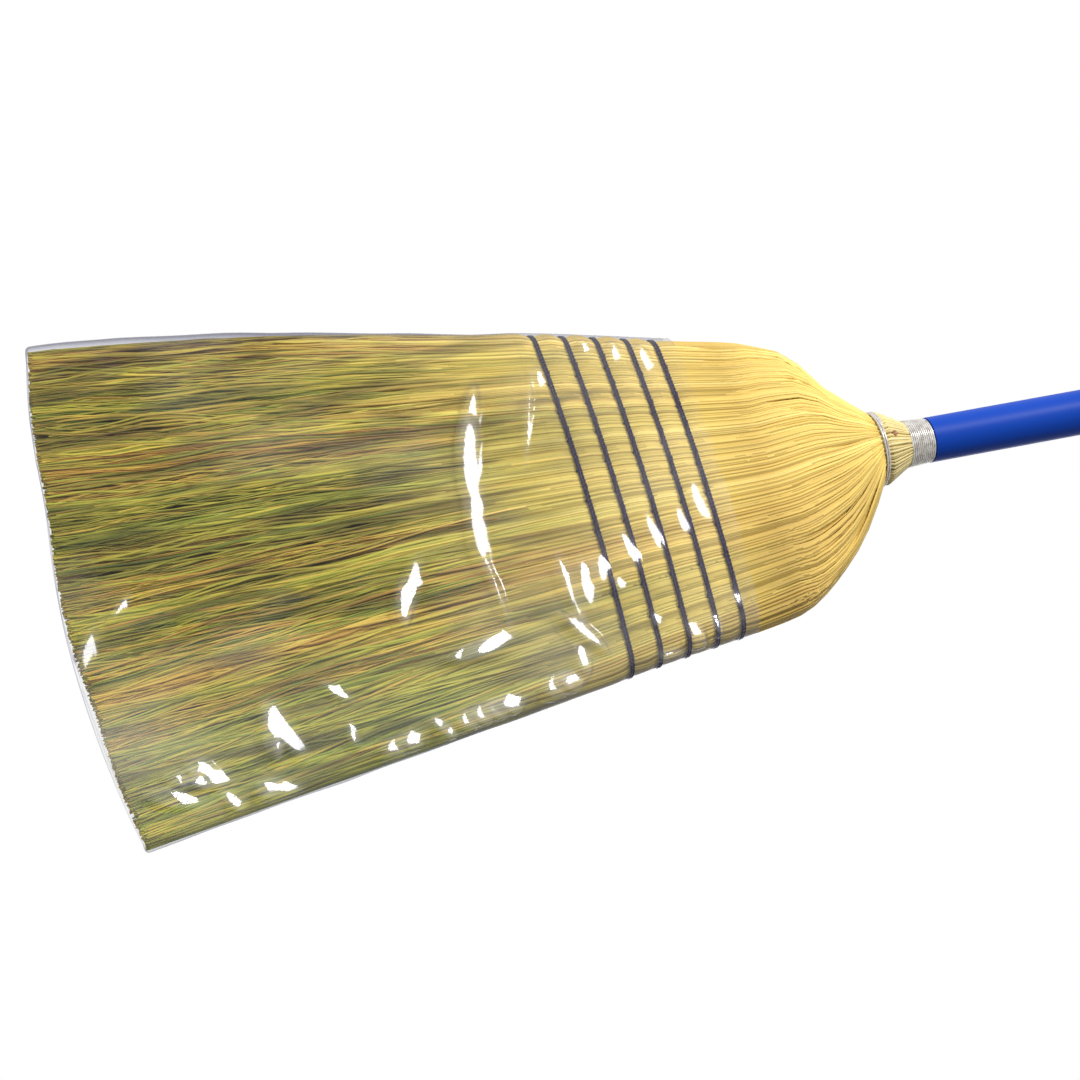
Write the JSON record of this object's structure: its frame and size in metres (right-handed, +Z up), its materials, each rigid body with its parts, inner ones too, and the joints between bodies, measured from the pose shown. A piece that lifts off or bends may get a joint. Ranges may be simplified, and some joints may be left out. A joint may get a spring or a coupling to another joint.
{
  "type": "corn broom",
  "caption": "Flat sewn corn broom wired to a round lacquered wooden handle, in a clear film sleeve that slides up off the head and along the handle.",
  "frame": {"origin": "on the handle's axis, level with the lowest bristle tips", "axes": "+Z up along the handle towards its grip end, X across the sweeping width, -Y out of the front face of the head"},
  "size_m": [0.2992, 0.0534, 1.448],
  "materials": {
    "lacquered_wood": "glossy blue lacquer over turned wood",
    "broomcorn_sewn": "dry golden stalks laid side by side",
    "broomcorn_bristles": "dry olive and straw fibre ends",
    "twine": "dark blue twisted twine",
    "wire": "bright tinned wire",
    "nail": "rust-stained steel",
    "film": "clear glossy film"
  },
  "bodies": {
    "broom": {"back_bristles": "broomcorn_bristles", "back_cover": "broomcorn_sewn", "binding_nails": "nail", "collar_wire": "wire", "core_bristles": "broomcorn_bristles", "core_bundle": "broomcorn_sewn", "core_wire": "wire", "front_bristles": "broomcorn_bristles", "front_cover": "broomcorn_sewn", "handle": "lacquered_wood", "left_bristles": "broomcorn_bristles", "left_shoulder": "broomcorn_sewn", "neck_collar": "broomcorn_sewn", "neck_wire": "wire", "right_bristles": "broomcorn_bristles", "right_shoulder": "broomcorn_sewn", "stitch_row_1": "twine", "stitch_row_2": "twine", "stitch_row_3": "twine", "stitch_row_4": "twine", "stitch_row_5": "twine"},
    "sleeve": {"film_sleeve": "film"}
  },
  "joints": [
    {"name": "sleeve_slide", "type": "slide", "parent": "broom", "child": "sleeve", "axis": [0, 0, 1], "range_m": [0, 1.46]}
  ]
}
